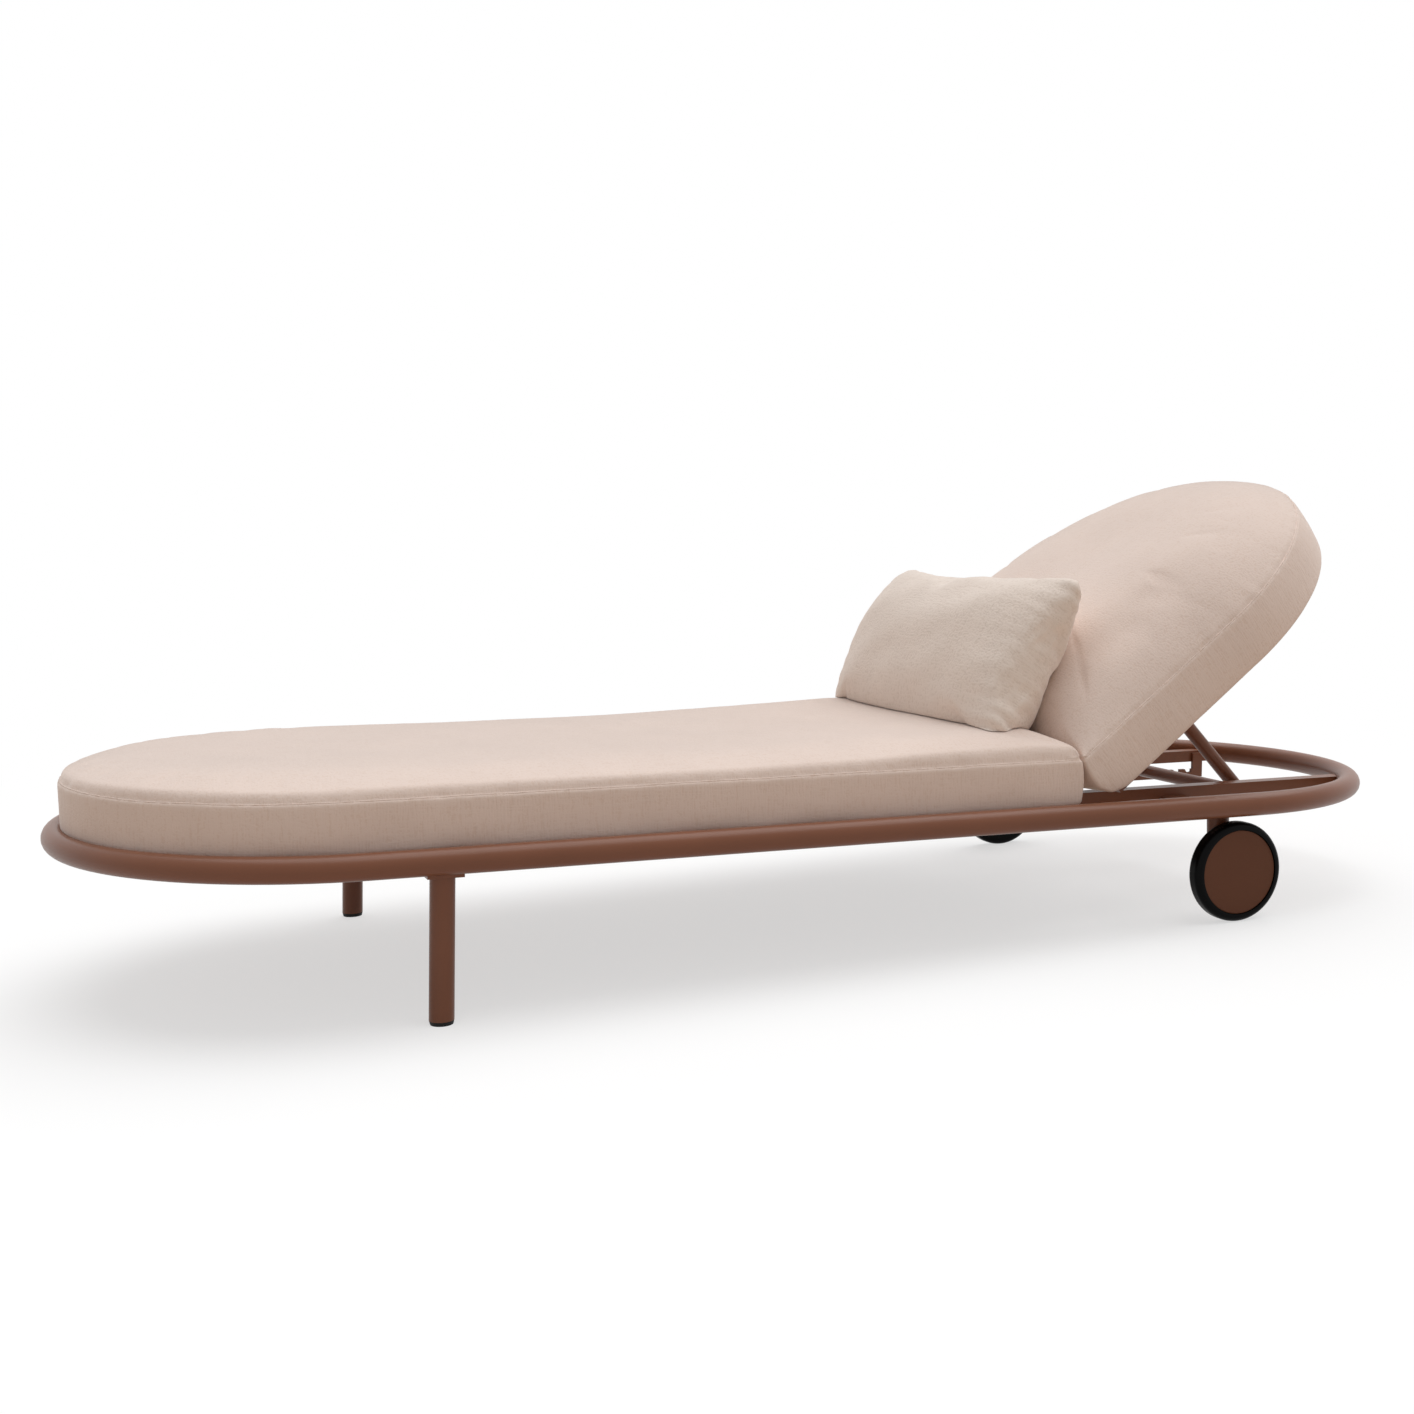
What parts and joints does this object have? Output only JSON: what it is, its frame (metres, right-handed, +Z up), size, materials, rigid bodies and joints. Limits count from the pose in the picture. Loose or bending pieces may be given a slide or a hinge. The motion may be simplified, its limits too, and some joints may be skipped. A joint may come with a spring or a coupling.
{
  "type": "reclining sun lounger",
  "caption": "Reclining sun lounger with an oval tube frame, round-ended cushions, a lumbar pillow, a hinged back propped by a bail on toothed racks, raked legs and wheels.",
  "frame": {"origin": "on the floor, below the middle of the outer box", "axes": "+X towards the head end with the wheels, +Z up, +Y to the right hand of the person lying in it"},
  "size_m": [2.0986, 0.7708, 0.6622],
  "materials": {
    "frame_coating": "satin terracotta-brown powder coat",
    "plated_steel": "zinc-plated",
    "tyre_rubber": "smooth black",
    "wheel_plastic": "moulded",
    "cover_plastic": "satin, coloured like the frame",
    "glide_plastic": "moulded",
    "cushion_fabric": "fine pale weave",
    "pillow_fabric": "linen weave"
  },
  "bodies": {
    "frame": {"axle_left": "plated_steel", "axle_nuts": "plated_steel", "axle_right": "plated_steel", "axle_washers": "plated_steel", "foot_cross_member": "frame_coating", "hinge_bracket_left": "frame_coating", "hinge_bracket_right": "frame_coating", "hinge_cross_member": "frame_coating", "hinge_pins": "plated_steel", "leg_cross_member": "frame_coating", "leg_glide_left": "glide_plastic", "leg_glide_right": "glide_plastic", "leg_left": "frame_coating", "leg_plate_left": "frame_coating", "leg_plate_right": "frame_coating", "leg_right": "frame_coating", "rack_ears_left": "frame_coating", "rack_ears_right": "frame_coating", "rack_left": "frame_coating", "rack_right": "frame_coating", "rail_left": "frame_coating", "rail_right": "frame_coating", "ring_tube": "frame_coating", "seat_cross_member": "frame_coating", "seat_cushion": "cushion_fabric", "seat_slat_01": "frame_coating", "seat_slat_02": "frame_coating", "seat_slat_03": "frame_coating", "seat_slat_04": "frame_coating", "seat_slat_05": "frame_coating", "seat_slat_06": "frame_coating", "seat_slat_07": "frame_coating", "seat_slat_08": "frame_coating", "seat_slat_09": "frame_coating", "seat_slat_10": "frame_coating", "wheel_plate_left": "frame_coating", "wheel_plate_right": "frame_coating", "wheel_post_left": "frame_coating", "wheel_post_right": "frame_coating"},
    "backrest": {"back_cushion": "cushion_fabric", "back_slat_1": "frame_coating", "back_slat_2": "frame_coating", "back_slat_3": "frame_coating", "back_slat_4": "frame_coating", "back_slat_5": "frame_coating", "bail_pins": "plated_steel", "bearer_left": "frame_coating", "bearer_right": "frame_coating"},
    "bail": {"bail": "frame_coating", "bail_pegs": "frame_coating"},
    "wheel_left": {"tyre_left": "tyre_rubber", "wheel_core_left": "wheel_plastic", "wheel_cover_left": "cover_plastic"},
    "wheel_right": {"tyre_right": "tyre_rubber", "wheel_core_right": "wheel_plastic", "wheel_cover_right": "cover_plastic"},
    "pillow": {"pillow": "pillow_fabric"}
  },
  "joints": [
    {"name": "backrest_hinge", "type": "hinge", "parent": "frame", "child": "backrest", "pos_m": [0.44103, 0, 0.1789], "axis": [0, 1, 0], "range_deg": [0, 37.6]},
    {"name": "bail_pivot", "type": "hinge", "parent": "backrest", "child": "bail", "pos_m": [0.64607, 0, 0.32711], "axis": [0, 1, 0], "range_deg": [-81.09, 0]},
    {"name": "wheel_left_spin", "type": "hinge", "parent": "frame", "child": "wheel_left", "pos_m": [0.6348, -0.3545, 0.0759], "axis": [0, 1, 0], "continuous": true},
    {"name": "wheel_right_spin", "type": "hinge", "parent": "frame", "child": "wheel_right", "pos_m": [0.6348, 0.3545, 0.0759], "axis": [0, 1, 0], "continuous": true},
    {"name": "pillow_lift", "type": "slide", "parent": "backrest", "child": "pillow", "axis": [-0.5858, 0, 0.8105], "range_m": [0, 0.15]}
  ],
  "couplings": [
    {"joint": "bail_pivot", "follows": "backrest_hinge", "ratio": -2.1487}
  ]
}
